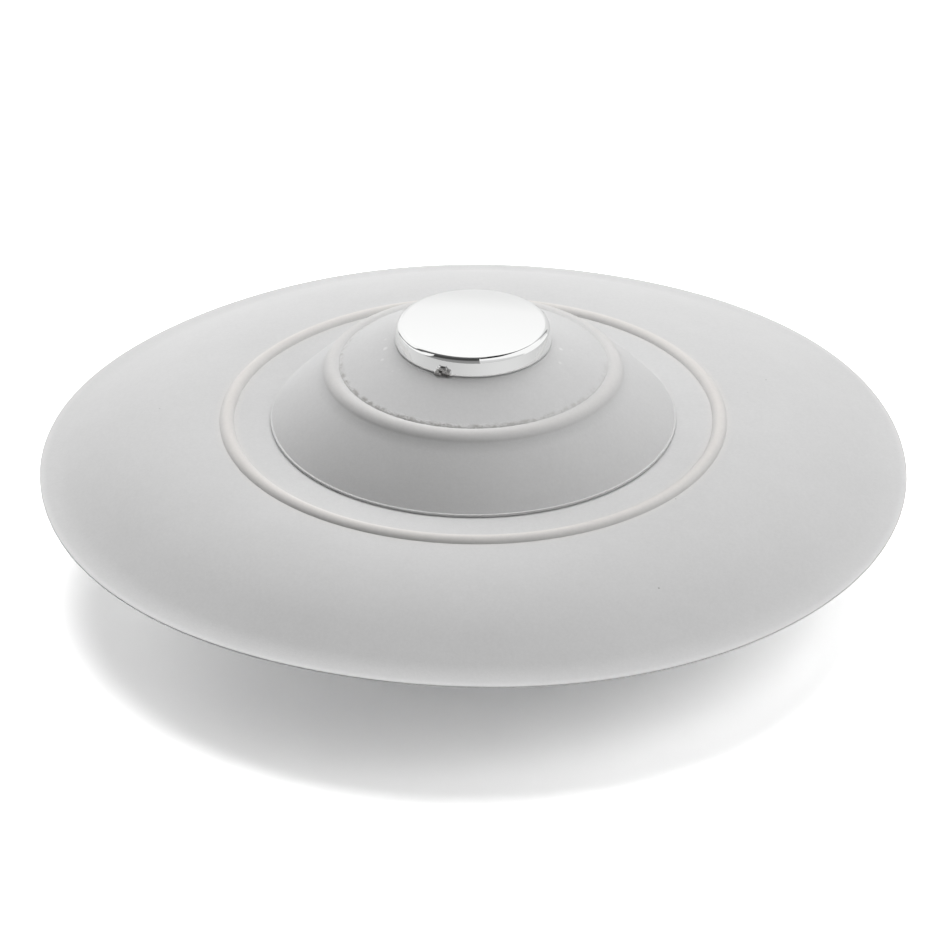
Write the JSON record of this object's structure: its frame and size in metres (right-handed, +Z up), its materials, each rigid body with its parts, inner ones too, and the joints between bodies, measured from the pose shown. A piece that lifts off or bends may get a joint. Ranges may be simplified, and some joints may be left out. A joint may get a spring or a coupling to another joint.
{
  "type": "drain stopper",
  "caption": "Round silicone drain stopper with a chromed press button: pushed down it seals, pulled up it drains through a slotted hair sieve under its dome.",
  "frame": {"origin": "centre of the foot ring's underside, where the closed stopper stands", "axes": "+Z up the stopper's axis, from the foot to the button; -Y is the front, the side that the picture shows"},
  "size_m": [0.105, 0.105, 0.0337],
  "materials": {
    "silicone": "matte",
    "ring_rubber": "satin",
    "collar_plastic": "matte",
    "sieve_plastic": "satin",
    "plated_chrome": "polished",
    "core_plastic": "matte",
    "stainless": "satin"
  },
  "bodies": {
    "cover": {"drain_disc": "silicone", "guide_collar": "collar_plastic", "clamp_ring": "collar_plastic"},
    "grip": {"grip_ring": "ring_rubber"},
    "plunger": {"sealing_dome": "silicone", "sieve_cage": "sieve_plastic", "foot_ring": "sieve_plastic", "press_button": "plated_chrome", "button_core": "core_plastic", "button_screw": "stainless", "screw_washer": "stainless"}
  },
  "joints": [
    {"name": "plunger_turn", "type": "hinge", "parent": "cover", "child": "grip", "pos_m": [0, 0, 0.01855], "axis": [0, 0, 1], "continuous": true},
    {"name": "plunger_lift", "type": "slide", "parent": "grip", "child": "plunger", "axis": [0, 0, 1], "range_m": [0, 0.012]}
  ]
}
